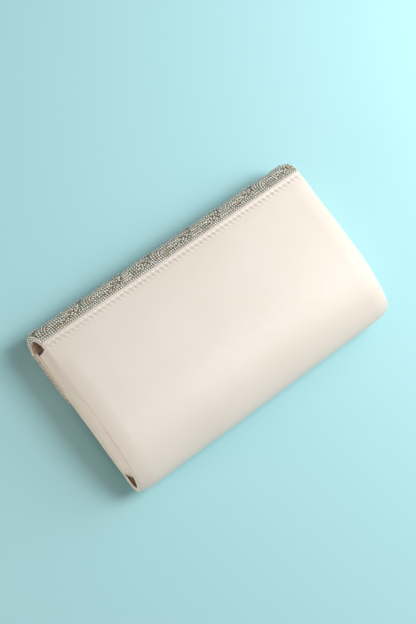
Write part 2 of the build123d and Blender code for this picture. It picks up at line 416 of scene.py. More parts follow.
def shader_group(name: str, inputs: dict[str, float], outputs: Sequence[str]) -> tuple[
        bpy.types.NodeTree, bpy.types.Node, bpy.types.Node]:
    """Starts a shader node group with number inputs and outputs.

    Args:
        name: the group's name.
        inputs: each input's name and usual value.
        outputs: the outputs' names.

    Returns:
        The group, its input node and its output node.
    """
    group = bpy.data.node_groups.new(name, "ShaderNodeTree")
    for title, value in inputs.items():
        socket = group.interface.new_socket(name=title, in_out="INPUT", socket_type="NodeSocketFloat")
        socket.default_value = value
    for title in outputs:
        group.interface.new_socket(name=title, in_out="OUTPUT", socket_type="NodeSocketFloat")
    return group, group.nodes.new("NodeGroupInput"), group.nodes.new("NodeGroupOutput")


def mottle_group() -> bpy.types.NodeTree:
    """Cloudy variation over the object's own coordinates, with outputs Broad and Fine."""
    group, given, out = shader_group("mottle", {"Broad Scale": 18.0, "Fine Scale": 220.0}, ["Broad", "Fine"])
    place = group.nodes.new("ShaderNodeTexCoord")
    for title in ("Broad", "Fine"):
        noise = group.nodes.new("ShaderNodeTexNoise")
        noise.inputs["Detail"].default_value = 3.0
        group.links.new(place.outputs["Object"], noise.inputs["Vector"])
        group.links.new(given.outputs[f"{title} Scale"], noise.inputs["Scale"])
        group.links.new(noise.outputs["Fac"], out.inputs[title])
    return group


def weave_group() -> bpy.types.NodeTree:
    """Cloth weave over the cloth's own map: Height for bumps and Thread for colour."""
    inputs = {"Warp": 4200.0, "Weft": 2100.0, "Slant": 0.3}
    group, given, out = shader_group("weave", inputs, ["Height", "Thread"])
    add, join = group.nodes.new, group.links.new
    place = add("ShaderNodeUVMap")
    place.uv_map = "cloth"
    split = add("ShaderNodeSeparateXYZ")
    join(place.outputs["UV"], split.inputs["Vector"])
    waves = []
    for axis, other, pitch in (("X", "Y", "Warp"), ("Y", "X", "Weft")):
        lean = math_node(group, "MULTIPLY_ADD", split.outputs[other], given.outputs["Slant"],
                         split.outputs[axis])
        phase = math_node(group, "MULTIPLY", lean, given.outputs[pitch])
        waves.append(math_node(group, "SINE", phase))
    both = math_node(group, "MULTIPLY", *waves)
    spread = add("ShaderNodeMapRange")
    spread.inputs["From Min"].default_value = -1.0
    join(both, spread.inputs["Value"])
    join(both, out.inputs["Height"])
    join(spread.outputs["Result"], out.inputs["Thread"])
    return group


def wear_group() -> bpy.types.NodeTree:
    """Rubbing along edges, where noise breaks it up: output Rub from 0 to 1."""
    group, given, out = shader_group("edge_rub", {"Amount": 0.5, "Scale": 90.0}, ["Rub"])
    add, join = group.nodes.new, group.links.new
    sharp = add("ShaderNodeNewGeometry")
    band = add("ShaderNodeMapRange")
    band.inputs["From Min"].default_value = 0.52
    band.inputs["From Max"].default_value = 0.62
    join(sharp.outputs["Pointiness"], band.inputs["Value"])
    place = add("ShaderNodeTexCoord")
    noise = add("ShaderNodeTexNoise")
    join(place.outputs["Object"], noise.inputs["Vector"])
    join(given.outputs["Scale"], noise.inputs["Scale"])
    broken = math_node(group, "MULTIPLY", band.outputs["Result"], noise.outputs["Fac"])
    join(math_node(group, "MULTIPLY", broken, given.outputs["Amount"]), out.inputs["Rub"])
    return group


class Groups:
    """The shader groups, each built once and used by every finish."""

    def __init__(self) -> None:
        """Builds all the groups."""
        self.mottle = mottle_group()
        self.weave = weave_group()
        self.wear = wear_group()


Colour = tuple[float, float, float]


class Painter:
    """Builds one material step by step."""

    def __init__(self, name: str, groups: Groups) -> None:
        """Starts an empty Principled material.

        Args:
            name: the material's name.
            groups: the shared shader groups.
        """
        self.groups = groups
        self.material = bpy.data.materials.new(name)
        self.material.use_nodes = True
        self.nodes, self.links = self.material.node_tree.nodes, self.material.node_tree.links
        self.surface = self.nodes["Principled BSDF"]

    def group(self, tree: bpy.types.NodeTree, **values: float) -> bpy.types.Node:
        """Places a shared group with its own values, given by input name with _ for spaces."""
        node = self.nodes.new("ShaderNodeGroup")
        node.node_tree = tree
        for title, value in values.items():
            node.inputs[title.replace("_", " ")].default_value = value
        return node

    def mix(self, factor: bpy.types.NodeSocket, a: object, b: object) -> bpy.types.NodeSocket:
        """Mixes two colours, each a colour or another node's output.

        Args:
            factor: the share of the second colour.
            a: first colour.
            b: second colour.

        Returns:
            The mixed colour's socket.
        """
        node = self.nodes.new("ShaderNodeMix")
        node.data_type = "RGBA"
        self.links.new(factor, node.inputs["Factor"])
        for colour, socket in ((a, node.inputs[6]), (b, node.inputs[7])):
            if isinstance(colour, bpy.types.NodeSocket):
                self.links.new(colour, socket)
            else:
                socket.default_value = (*colour, 1.0)
        return node.outputs[2]

    def span(self, value: bpy.types.NodeSocket, low: float, high: float, start: float = 0.0,
             stop: float = 1.0) -> bpy.types.NodeSocket:
        """Maps a value from start..stop to low..high and returns the result's socket."""
        node = self.nodes.new("ShaderNodeMapRange")
        node.inputs["From Min"].default_value, node.inputs["From Max"].default_value = start, stop
        node.inputs["To Min"].default_value, node.inputs["To Max"].default_value = low, high
        self.links.new(value, node.inputs["Value"])
        return node.outputs["Result"]

    def bump(self, height: bpy.types.NodeSocket, depth: float, strength: float = 0.5,
             after: Optional[bpy.types.Node] = None) -> bpy.types.Node:
        """Adds a bump of a height over a depth in metres, after another bump if given."""
        node = self.nodes.new("ShaderNodeBump")
        node.inputs["Distance"].default_value = depth
        node.inputs["Strength"].default_value = strength
        self.links.new(height, node.inputs["Height"])
        if after is not None:
            self.links.new(after.outputs["Normal"], node.inputs["Normal"])
        self.feed("Normal", node.outputs["Normal"])
        return node

    def feed(self, title: str, value: bpy.types.NodeSocket) -> None:
        """Leads another node's output into one of the surface's inputs."""
        self.links.new(value, self.surface.inputs[title])

    def set(self, **values: float) -> None:
        """Sets plain numbers on the surface, by socket name with _ for spaces."""
        for title, value in values.items():
            self.surface.inputs[title.replace("_", " ")].default_value = value


@dataclass(frozen=True)
class ClothFinish:
    """A woven cloth: satin, lining, ground cloth or wadding."""

    name: str
    light: Colour
    dark: Colour
    roughness: float
    sheen: float
    weave_depth: float
    warp: float = 4200.0
    weft: float = 2100.0
    slant: float = 0.3
    rub: float = 0.4

    def build(self, groups: Groups) -> bpy.types.Material:
        """Builds the material from the shared groups."""
        paint = Painter(self.name, groups)
        mottle = paint.group(groups.mottle, Broad_Scale=14.0, Fine_Scale=260.0)
        weave = paint.group(groups.weave, Warp=self.warp, Weft=self.weft, Slant=self.slant)
        wear = paint.group(groups.wear, Amount=self.rub)
        cloudy = paint.mix(paint.span(mottle.outputs["Broad"], 0, 1, 0.35, 0.65), self.light, self.dark)
        thread = paint.mix(paint.span(weave.outputs["Thread"], 0, 0.22), cloudy, self.dark)
        pale = tuple(min(1.0, 0.5 * c + 0.47) for c in self.light)
        paint.feed("Base Color", paint.mix(wear.outputs["Rub"], thread, pale))
        rough = paint.span(mottle.outputs["Fine"], self.roughness - 0.05, self.roughness + 0.06, 0.3, 0.7)
        paint.feed("Roughness", rough)
        paint.set(Sheen_Weight=self.sheen, Sheen_Roughness=0.35, Specular_IOR_Level=0.45)
        fine = paint.bump(mottle.outputs["Fine"], 0.00004, 0.25)
        paint.bump(weave.outputs["Height"], self.weave_depth, 0.35, fine)
        return paint.material


@dataclass(frozen=True)
class BeadFinish:
    """Silver-lined seed beads, each with its own tint."""

    name: str
    silver: Colour = (0.80, 0.785, 0.72)
    smoke: Colour = (0.45, 0.43, 0.36)
    champagne: Colour = (0.74, 0.65, 0.50)

    def build(self, groups: Groups) -> bpy.types.Material:
        """Builds the material; it reads the beads' tint and their row's shade."""
        paint = Painter(self.name, groups)
        tint, shade = (paint.nodes.new("ShaderNodeAttribute") for _ in range(2))
        tint.attribute_name, shade.attribute_name = "tint", "shade"
        mottle = paint.group(groups.mottle, Broad_Scale=60.0, Fine_Scale=2600.0)
        pair = paint.mix(paint.span(tint.outputs["Fac"], 0, 1, 0.72, 0.82), self.silver, self.champagne)
        rows = paint.mix(paint.span(shade.outputs["Fac"], 0, 0.55), pair, self.smoke)
        odd = paint.mix(paint.span(tint.outputs["Fac"], 0.5, 0, 0.0, 0.16), rows, self.smoke)
        paint.feed("Base Color", odd)
        paint.feed("Roughness", paint.span(mottle.outputs["Fine"], 0.16, 0.34, 0.3, 0.7))
        paint.set(Metallic=0.25, Coat_Weight=0.5, Coat_Roughness=0.1)
        return paint.material


@dataclass(frozen=True)
class HardFinish:
    """Metal or board: a base colour with fine scratches or flecks and rubbed edges."""

    name: str
    base: Colour
    fleck: Colour
    metallic: float
    roughness: float
    grain: float = 900.0

    def build(self, groups: Groups) -> bpy.types.Material:
        """Builds the material from the shared groups."""
        paint = Painter(self.name, groups)
        mottle = paint.group(groups.mottle, Broad_Scale=120.0, Fine_Scale=self.grain)
        wear = paint.group(groups.wear, Amount=0.7)
        flecks = paint.mix(paint.span(mottle.outputs["Fine"], 0, 0.5, 0.4, 0.7), self.base, self.fleck)
        pale = tuple(min(1.0, c * 1.25) for c in self.base)
        paint.feed("Base Color", paint.mix(wear.outputs["Rub"], flecks, pale))
        rough = paint.span(mottle.outputs["Broad"], self.roughness - 0.06, self.roughness + 0.1, 0.3, 0.7)
        paint.feed("Roughness", rough)
        paint.set(Metallic=self.metallic)
        paint.bump(mottle.outputs["Fine"], 0.00003, 0.3)
        return paint.material


@dataclass
class Finishes:
    """All the bag's finishes, by the record's slot names."""

    groups: Groups = field(default_factory=Groups)

    def __post_init__(self) -> None:
        """Builds each material once."""
        blush, blush_shade = (0.785, 0.712, 0.630), (0.756, 0.674, 0.592)
        edge, edge_shade = (0.96, 0.80, 0.70), (0.91, 0.75, 0.65)
        fleece, fleece_shade = (0.9, 0.9, 0.87), (0.8, 0.8, 0.76)
        # The lining's tan is partly a guessed lining colour and partly painted shade, darkened like the
        # shaded inside of the bag.
        shaded_tan, shaded_tan_dark = (0.60, 0.405, 0.27), (0.48, 0.315, 0.205)
        # The ground cloth's olive is partly its own colour and partly painted shade, darkened like the shade
        # between the beads and along the flap's side.
        ground, ground_shade = (0.40, 0.36, 0.275), (0.30, 0.27, 0.20)
        sewing, sewing_shade = (0.9, 0.81, 0.70), (0.78, 0.68, 0.57)
        cloths = (
            ClothFinish("satin", blush, blush_shade, 0.42, 0.30, 0.000012),
            ClothFinish("satin_edge", edge, edge_shade, 0.45, 0.25, 0.00002),
            ClothFinish("wadding", fleece, fleece_shade, 0.95, 0.4, 0.00015, 1300.0, 1700.0),
            ClothFinish("lining_cloth", shaded_tan, shaded_tan_dark, 0.62, 0.2, 0.00003, 3000.0, 3000.0, 0),
            ClothFinish("ground_cloth", ground, ground_shade, 0.8, 0.1, 0.0001, 2200.0, 2200.0, 0),
            ClothFinish("thread", sewing, sewing_shade, 0.5, 0.3, 0.00002),
        )
        hards = (
            HardFinish("board", (0.46, 0.38, 0.28), (0.3, 0.24, 0.18), 0.0, 0.85),
            HardFinish("snap_metal", (0.77, 0.75, 0.7), (0.6, 0.58, 0.54), 1.0, 0.28, 2400.0),
            HardFinish("magnet", (0.09, 0.09, 0.095), (0.05, 0.05, 0.05), 0.3, 0.6),
        )
        self.by_slot = {finish.name: finish.build(self.groups) for finish in (*cloths, *hards)}
        self.by_slot["beads"] = BeadFinish("beads").build(self.groups)

    def __getitem__(self, slot: str) -> bpy.types.Material:
        """The material of a slot."""
        return self.by_slot[slot]


# ---------------------------------------------------------------- the bag's shape

@dataclass
class ShellProfile:
    """Side profile of the shell, from the top seam over the crown and round the fold to the front's mouth."""

    crown_run: float = 73 * MM
    fold_radius: float = 10 * MM

    def __post_init__(self) -> None:
        """Reads the shell's places from the frame and samples its outer line."""
        low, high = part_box("back_satin")
        self.fold_y, self.seam_y, self.crown_z = low.y, high.y, high.z
        self.seam_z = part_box("spine_beadwork")[1].z
        self.front_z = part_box("front_satin")[0].z
        self.mouth_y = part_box("front_satin")[1].y
        self.bend_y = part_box("front_satin")[0].y
        self.half_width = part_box("spine_beadwork")[1].x
        self.satin_half = high.x
        self.board_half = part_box("back_board")[1].x
        self.fold_z = self.front_z + self.fold_radius
        self.crown_y = self.seam_y - self.crown_run
        self.line = self._outer_line()
        steps = np.linalg.norm(np.diff(self.line, axis=0), axis=1)
        self.length = float(steps.sum())
        self.along = np.concatenate([[0], np.cumsum(steps)])
        slope = np.gradient(self.line, axis=0)
        slope /= np.linalg.norm(slope, axis=1, keepdims=True)
        self.normal = np.stack([slope[:, 1], -slope[:, 0]], axis=1)
        self.fold_station = float(self.along[np.argmin(self.line[:, 0])])
        front = (self.line[:, 1] < self.fold_z) & (self.line[:, 0] > self.bend_y)
        self.bend_station = float(self.along[front].min())

    def _outer_line(self) -> np.ndarray:
        """The outer line as (y, z) points, finely sampled."""
        rise = self.crown_z - self.seam_z
        radius = (self.crown_run**2 + rise**2) / (2 * rise)
        y = np.linspace(self.seam_y, self.crown_y, 80)
        crown = np.stack([y, self.crown_z - radius + np.sqrt(radius**2 - (y - self.crown_y) ** 2)], axis=1)
        turn = np.linspace(0, math.pi / 2, 120)[1:]
        shoulder = np.stack([self.crown_y - (self.crown_y - self.fold_y) * np.sin(turn),
                             self.fold_z + (self.crown_z - self.fold_z) * np.cos(turn)], axis=1)
        under = np.stack([self.fold_y + self.fold_radius * (1 - np.cos(turn)),
                          self.fold_z - self.fold_radius * np.sin(turn)], axis=1)
        y = np.linspace(self.fold_y + self.fold_radius, self.mouth_y, 60)[1:]
        front = np.stack([y, np.full_like(y, self.front_z)], axis=1)
        return np.concatenate([crown, shoulder, under, front])

    def at(self, station: np.ndarray, inset: np.ndarray | float = 0.0) -> np.ndarray:
        """Places on the profile at distances from the seam, at a depth below the outer face.

        Args:
            station: distances along the outer line.
            inset: depths below it.

        Returns:
            (y, z) pairs along a new last axis.
        """
        pair = np.stack([np.interp(station, self.along, self.line[:, k]) for k in (0, 1)], axis=-1)
        out = np.stack([np.interp(station, self.along, self.normal[:, k]) for k in (0, 1)], axis=-1)
        return pair - out * np.asarray(inset)[..., None]

    def face(self, x: np.ndarray, station: np.ndarray, inset: np.ndarray | float) -> np.ndarray:
        """Points at places along the width, distances from the seam and depths below the outer face."""
        return np.concatenate([x[..., None], self.at(station, inset)], axis=-1)

    def heights(self, y: np.ndarray, inset: float) -> tuple[np.ndarray, np.ndarray]:
        """Heights of the upper and lower wall at a depth, over given Y places.

        Args:
            y: places along Y.
            inset: depth below the outer face.

        Returns:
            (upper heights, lower heights).
        """
        pairs = self.at(self.along, inset)
        turn = int(np.argmin(pairs[:, 0]))
        upper, lower = pairs[:turn + 1][::-1], pairs[turn:]
        return (np.interp(y, upper[:, 0], upper[:, 1]), np.interp(y, lower[:, 0], lower[:, 1]))

    def bend(self, piece: bpy.types.Object, inset: float, lean: float = 78.0, reach: float = 8 * MM) -> None:
        """Bakes a cloth's placement into its points; the cloth is not bent.

        Args:
            piece: a cloth with no parent.
            inset: not used.
            lean: not used.
            reach: not used.
        """
        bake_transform(piece)


@dataclass
class SatinCover:
    """The satin over the back, round the fold and over the front, with its wadding, boards and topstitches.

    Depths are below the shell's outer face, and runs go along the profile from the top seam. The satin rolls
    down at the bag's sides, sinks into a groove along the topstitches and puckers from stitch to stitch.
    """

    profile: ShellProfile
    finishes: Finishes
    thick: float = 0.5 * MM
    roll_depth: float = 2.1 * MM
    roll_width: float = 13.5 * MM
    roll_least: float = 0.3
    roll_rise: tuple[float, float] = (2 * MM, 26 * MM)
    wave: float = 0.10 * MM
    wave_length: float = 55 * MM
    wave_rise: tuple[float, float] = (4 * MM, 20 * MM)
    stitch_run: float = 3.6 * MM
    stitch_pitch: float = 4.2 * MM
    stitch_size: tuple[float, float, float] = (1.3 * MM, 0.36 * MM, 0.28 * MM)
    stitch_sink: float = 0.3 * MM
    groove: float = 0.30 * MM
    groove_width: float = 0.75 * MM
    settled: float = 0.25 * MM
    settle_run: float = 4.5 * MM
    seam_tuck: float = 0.45 * MM
    tuck_run: float = 1.1 * MM
    pucker: float = 0.42 * MM
    pucker_slant: float = 0.75
    pucker_middle: float = 1.2 * MM
    pucker_run: float = 1.7 * MM
    clearance: float = 0.15 * MM
    turned_in: float = 3.4 * MM
    fine_run: float = 12 * MM
    wadding_gap: float = 0.08 * MM
    wadding_least: float = 0.12 * MM
    wadding_base: float = 1.48 * MM
    board_gap: float = 0.25 * MM
    board_top: float = 1.52 * MM
    board_least: float = 0.1 * MM
    board_base: float = 3.0 * MM

    def sink(self, x: np.ndarray, station: np.ndarray) -> np.ndarray:
        """How far the satin lies below the shell's outer face.

        Args:
            x: places along the width.
            station: distances from the top seam.

        Returns:
            Depths in metres.
        """
        side = self.profile.satin_half - np.abs(x)
        rolled = self.roll_depth * np.clip(1 - side / self.roll_width, 0, 1) ** 2.0
        rolled = rolled * (self.roll_least + (1 - self.roll_least) * smooth(station, *self.roll_rise))
        seam = station - self.stitch_run
        stitched = self.groove * np.exp(-(seam / self.groove_width) ** 2)
        settle = self.settled * np.exp(-(np.maximum(seam, 0) / self.settle_run) ** 2)
        tuck = self.seam_tuck * (1 - smooth(station, 0, self.tuck_run))
        phase = (x - self.pucker_slant * seam) / self.stitch_pitch
        fade = np.exp(-((seam - self.pucker_middle) / self.pucker_run) ** 2)
        crease = self.pucker * np.cos(math.tau * phase) * fade
        waves = self.wave * ripple(x, station, self.wave_length, 5) * smooth(station, *self.wave_rise)
        return rolled + stitched + settle + tuck + crease + waves + self.clearance

    def cover(self) -> bpy.types.Object:
        """Builds the satin sheet with its sides turned in over the panel's edges."""
        p = self.profile
        near = np.linspace(0, self.fine_run, 22)
        far = np.linspace(self.fine_run, p.length, 76)[1:]
        station = np.concatenate([near, far])
        flat = np.linspace(-1, 1, 351) * (p.satin_half - 0.5 * MM)
        # The strip turned in at each side: steps out along the width, and in from the face.
        turn_x = np.array([0.25, 0.42, 0.5, 0.5, 0.45]) * MM - 0.5 * MM
        turn_in = np.array([0.15, 0.5, 1.2, 2.4, self.turned_in / MM]) * MM
        x = np.concatenate([-(p.satin_half + turn_x[::-1]), flat, p.satin_half + turn_x])
        extra = np.concatenate([turn_in[::-1], np.zeros(len(flat)), turn_in])
        grid_x, grid_s = np.meshgrid(x, station)
        sink = self.sink(np.clip(grid_x, flat[0], flat[-1]), grid_s) + extra[None, :]
        grid = p.face(grid_x, grid_s, sink)
        uv = np.stack([grid_x + np.sign(grid_x) * extra[None, :], grid_s], axis=2)
        sheet = closed_sheet("satin_cover", grid, self.thick, self.finishes["satin"], flip=True, uv=uv)
        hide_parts("back_satin", "front_satin")
        p.bend(sheet, 0.0)
        return sheet

    def wadding(self) -> bpy.types.Object:
        """Builds the thin wadding between the satin and the boards."""
        p = self.profile
        station = np.linspace(1.5 * MM, p.length - 1 * MM, 90)
        x = np.linspace(-1, 1, 121) * (p.board_half - 0.2 * MM)
        grid_x, grid_s = np.meshgrid(x, station)
        top = self.sink(grid_x, grid_s) + self.thick + self.wadding_gap
        base = np.maximum(top + self.wadding_least, self.wadding_base)
        outer, inner = p.face(grid_x, grid_s, top), p.face(grid_x, grid_s, base)
        uv = np.stack([grid_x, grid_s], axis=2)
        pad = closed_sheet("satin_wadding", outer, 0.0, self.finishes["wadding"], flip=True, uv=uv,
                           inner=inner)
        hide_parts("back_wadding", "front_wadding")
        p.bend(pad, 1 * MM)
        return pad

    def board(self, name: str, first: float, last: float, node: str) -> bpy.types.Object:
        """Builds a panel's board, pared thin along its sides under the rolled satin.

        Args:
            name: the piece's name.
            first: distance from the top seam where it starts.
            last: distance where it ends.
            node: the solid it stands for.

        Returns:
            The board.
        """
        p = self.profile
        x = np.linspace(-1, 1, 121) * (p.board_half - 0.3 * MM)
        grid_x, grid_s = np.meshgrid(x, np.linspace(first, last, 60))
        depth = np.maximum(self.sink(grid_x, grid_s) + self.thick + self.board_gap, self.board_top)
        outer = p.face(grid_x, grid_s, depth)
        inner = p.face(grid_x, grid_s, np.maximum(depth + self.board_least, self.board_base))
        piece = closed_sheet(name, outer, 0.0, self.finishes["board"], flip=True, inner=inner)
        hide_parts(node)
        return piece

    def boards(self) -> list[bpy.types.Object]:
        """Builds the back board, which rides on the shell, and the front board, on the front panel."""
        p = self.profile
        back_end = float(np.interp(-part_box("back_board")[0].y, -p.line[:200, 0], p.along[:200]))
        back = self.board("pared_back_board", 1.2 * MM, min(back_end, p.fold_station - 12 * MM), "back_board")
        front = self.board("pared_front_board", p.bend_station + 1 * MM, p.length - 1.2 * MM, "front_board")
        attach(back, Body.SHELL.value)
        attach(front, Body.FRONT.value)
        return [back, front]

    def stitches(self) -> bpy.types.Object:
        """Sets the row of topstitches in the groove below the turned band."""
        p = self.profile
        x = np.linspace(-p.satin_half + 3 * MM, p.satin_half - 3 * MM, 90)
        station = np.full_like(x, self.stitch_run)
        depth = self.sink(np.full_like(x, self.stitch_pitch / 2), station) - self.stitch_sink
        line = p.face(x, station, depth)
        sewing = Scatter(spacing=self.stitch_pitch, size=self.stitch_size, tilt=-0.16, jitter=0.08,
                         segments=8, rings=5, seed=11)
        thread = sewing.along("topstitches", [line], [0.0], self.finishes["thread"])
        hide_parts("seam_stitches")
        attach(thread, Body.SHELL.value)
        return thread

    def build(self) -> list[bpy.types.Object]:
        """Builds the wadding, the satin, its topstitches and the boards."""
        return [self.wadding(), self.cover(), self.stitches(), *self.boards()]


@dataclass
class EdgePipings:
    """Turned satin edges that stand along the sides of the back and the front panel."""

    profile: ShellProfile
    finishes: Finishes
    satin: SatinCover
    half_width: float = 0.5 * MM
    half_depth: float = 0.7 * MM
    sunk: float = 0.85 * MM
    set_in: float = 0.95 * MM
    start: float = 0.4 * MM

    def piping(self, side: Side, name: str, first: float, last: float,
               nodes: Sequence[str]) -> bpy.types.Object:
        """Builds one piping along the profile.

        Args:
            side: the end of the bag it is on.
            name: the piece's name.
            first: distance from the seam where it starts.
            last: distance where it ends.
            nodes: the solids it stands for.

        Returns:
            The piping.
        """
        p = self.profile
        station = np.linspace(first, last, 120)
        wobble = 0.05 * MM * np.sin(station / (6.1 * MM))
        wobble = wobble + 0.04 * MM * np.sin(station / (2.3 * MM) + side.value)
        below = self.satin.sink(np.full_like(station, p.satin_half), station)
        x = np.full_like(station, side.value * (p.half_width - self.set_in)) + wobble
        line = p.face(x, station, below + self.sunk + wobble)
        out = p.at(station, 0.0) - p.at(station, 1.0)
        taper = np.minimum(1, 0.45 + smooth(station, first, first + 1.5 * MM))[:, None]
        up = np.concatenate([np.zeros((len(station), 1)), out], axis=1) * self.half_depth * taper
        across = np.tile([self.half_width, 0, 0], (len(station), 1)) * taper
        piece = tube(name, line, across, up, self.finishes["satin_edge"], 14)
        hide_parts(*nodes)
        return piece

    def build(self) -> list[bpy.types.Object]:
        """Builds a piping round each side."""
        made = []
        for side in Side:
            label = side.name.lower()
            nodes = (f"{label}_back_piping", f"{label}_front_piping")
            piece = self.piping(side, f"{label}_edge_piping", self.start, self.profile.length, nodes)
            self.profile.bend(piece, 1.0 * MM)
            made.append(piece)
        return made


@dataclass
class Gussets:
    """Folded satin gussets with their linings, set in between the panels at each end.

    A gusset bellies out over its lower part, is tucked in towards its top and is drawn in hard at the bottom
    fold. It reaches a little past the solid gusset's top.
    """

    profile: ShellProfile
    finishes: Finishes
    thick: float = 0.45 * MM
    lining_thick: float = 0.35 * MM
    edge_inset: float = 3.6 * MM
    edge_set: float = 0.1 * MM
    tuck: float = 1.6 * MM
    belly: float = 2.2 * MM
    drawn_in: float = 8.5 * MM
    drawn_run: float = 17 * MM
    crumple: float = 0.34 * MM
    crumple_length: float = 16 * MM
    full_rise: tuple[float, float] = (8 * MM, 26 * MM)
    tuck_start: float = -20 * MM
    above: float = 3.2 * MM
    fold_margin: float = 3 * MM

    def grid(self, side: Side, deeper: float) -> tuple[np.ndarray, np.ndarray]:
        """Points of a gusset's outer face, and their places on the cloth.

        Args:
            side: the end of the bag.
            deeper: how far in from the gusset's outer face.

        Returns:
            (points, places) as grids, from the bottom fold to the top edge.
        """
        p = self.profile
        top_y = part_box("right_gusset")[1].y + self.above
        bottom_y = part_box("right_gusset")[0].y + 0.4 * MM
        y = bottom_y + (top_y - bottom_y) * np.linspace(0, 1, 90) ** 1.15
        upper, lower = p.heights(y, self.edge_inset)
        across = np.linspace(0, 1, 33)
        grid_y, grid_w = np.meshgrid(y, across, indexing="ij")
        depth = (upper - lower)[:, None]
        z = upper[:, None] - depth * grid_w
        centred = 2 * grid_w - 1
        hollow = 1 - centred**2
        low = 1 - smooth(grid_y, self.tuck_start, top_y)
        drawn = self.drawn_in * (1 - smooth(grid_y, bottom_y, bottom_y + self.drawn_run))
        waves = self.crumple * ripple(grid_y, z, self.crumple_length, 21 + side.value) * hollow
        start, end = self.full_rise
        full = self.belly * low * smooth(grid_y, bottom_y + start, bottom_y + end)
        inward = (self.tuck * (1 - low) - full) * hollow + drawn + waves + deeper
        x = side.value * (p.satin_half - self.edge_set - inward)
        points = np.stack([x, grid_y, z], axis=2)
        return points, np.stack([grid_y, z], axis=2)

    def cloth(self, side: Side, name: str, deeper: float, thick: float, slot: str) -> bpy.types.Object:
        """Builds one cloth of a gusset.

        Args:
            side: the end of the bag.
            name: the piece's name, which is also its solid's name after the side.
            deeper: how far in from the gusset's outer face it starts.
            thick: its thickness.
            slot: its finish.

        Returns:
            The cloth.
        """
        points, uv = self.grid(side, deeper)
        piece = closed_sheet(f"{side.name.lower()}_{name}_cloth", points, thick, self.finishes[slot],
                             flip=side is Side.LEFT, uv=uv)
        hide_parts(f"{side.name.lower()}_{name}")
        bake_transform(piece)
        return piece

    def build(self) -> list[bpy.types.Object]:
        """Builds both gussets and their linings."""
        made = []
        for side in Side:
            inside = self.thick + 0.1 * MM
            made.append(self.cloth(side, "gusset", 0.0, self.thick, "satin_edge"))
            made.append(self.cloth(side, "gusset_lining", inside, self.lining_thick, "lining_cloth"))
        return made


@dataclass
class Lining:
    """The lining over the inside of both panels, and the slip pocket sewn to its back."""

    profile: ShellProfile
    finishes: Finishes
    inset: float = 3.05 * MM
    thick: float = 0.4 * MM
    slack: float = 0.25 * MM
    pocket_thick: float = 0.35 * MM
    pocket_inset: float = 3.85 * MM
    hem: float = 0.2 * MM
    hem_run: float = 5 * MM

    def walls(self) -> bpy.types.Object:
        """Builds the lining round the inside, from the top seam to the front's mouth."""
        p = self.profile
        station = np.linspace(0.3 * MM, p.length - 0.3 * MM, 110)
        x = np.linspace(-1, 1, 121) * (p.board_half - 0.2 * MM)
        grid_x, grid_s = np.meshgrid(x, station)
        depth = self.inset + self.slack * (0.5 + 0.5 * ripple(grid_x, grid_s, 28 * MM, 31))
        uv = np.stack([grid_x, grid_s], axis=2)
        piece = closed_sheet("wall_lining", p.face(grid_x, grid_s, depth), self.thick,
                             self.finishes["lining_cloth"], flip=True, uv=uv)
        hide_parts("back_lining", "front_lining")
        p.bend(piece, self.inset, lean=80.5)
        return piece

    def pocket(self) -> bpy.types.Object:
        """Builds the slip pocket, sewn down at its sides and bottom and slack at its mouth."""
        p = self.profile
        low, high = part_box("slip_pocket")
        y = np.linspace(high.y, low.y, 50)
        x = np.linspace(low.x, high.x, 81)
        grid_x, grid_y = np.meshgrid(x, y)
        side = smooth((high.x - np.abs(grid_x)) / MM, 0, 7)
        foot = smooth((grid_y - low.y) / MM, 0, 6)
        slack = side * foot * (0.9 + 0.5 * smooth((grid_y - low.y) / (high.y - low.y), 0.4, 1))
        waves = 0.12 * ripple(grid_x, grid_y, 24 * MM, 41) * side * foot
        upper = p.heights(y, 0.0)[0][:, None]
        hem = self.hem * (np.abs(grid_y - (high.y - self.hem_run)) < 0.5 * MM)
        z = upper - self.pocket_inset - (slack + waves) * MM - hem
        grid = np.stack([grid_x, grid_y, z], axis=2)
        uv = np.stack([grid_x, grid_y], axis=2)
        piece = closed_sheet("pocket_patch", grid, self.pocket_thick, self.finishes["lining_cloth"], uv=uv)
        outward(piece)
        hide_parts("slip_pocket")
        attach(piece, Body.SHELL.value)
        return piece

    def build(self) -> list[bpy.types.Object]:
        """Builds the lining and its pocket."""
        return [self.walls(), self.pocket()]


# ---------------------------------------------------------------- beadwork

